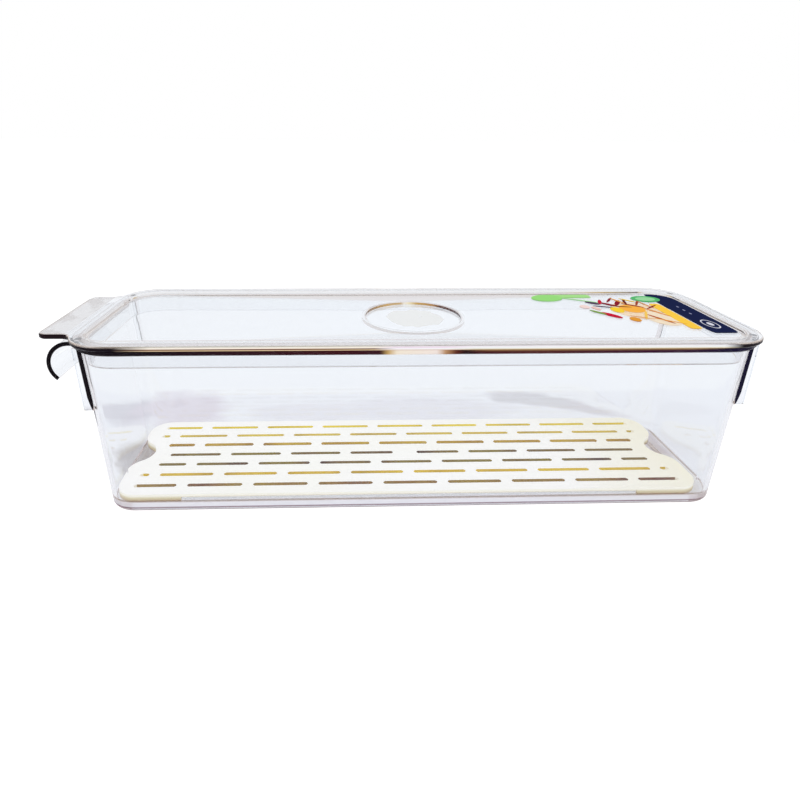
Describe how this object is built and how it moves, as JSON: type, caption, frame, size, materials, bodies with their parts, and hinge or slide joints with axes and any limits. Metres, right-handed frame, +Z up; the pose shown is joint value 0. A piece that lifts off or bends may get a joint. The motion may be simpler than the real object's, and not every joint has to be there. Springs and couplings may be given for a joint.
{
  "type": "lidded fridge bin",
  "caption": "Long narrow clear plastic fridge bin with sloping walls, a curled finger grip, a lift-off lid with a tab and finger dish, and a slotted drain tray on its floor.",
  "frame": {"origin": "middle of the overall length (tab included) and of the width, in the plane the foot stands on", "axes": "+Z up; X along the bin, with the curled grip and the lid's tab at the -X end; Y across the bin"},
  "size_m": [0.335, 0.0954, 0.089],
  "materials": {
    "clear_bin": "clear glossy moulded plastic",
    "clear_lid": "clear glossy moulded plastic",
    "tray_plastic": "milky satin plastic",
    "label_film": "printed clear film"
  },
  "bodies": {
    "bin": {"bin": "clear_bin"},
    "lid": {"lid": "clear_lid", "lid_label": "label_film"},
    "drain_tray": {"drain_tray": "tray_plastic"}
  },
  "joints": [
    {"name": "lid_lift", "type": "slide", "parent": "bin", "child": "lid", "axis": [0, 0, 1], "range_m": [0, 0.06]},
    {"name": "tray_lift", "type": "slide", "parent": "bin", "child": "drain_tray", "axis": [0, 0, 1], "range_m": [0, 0.06]}
  ]
}
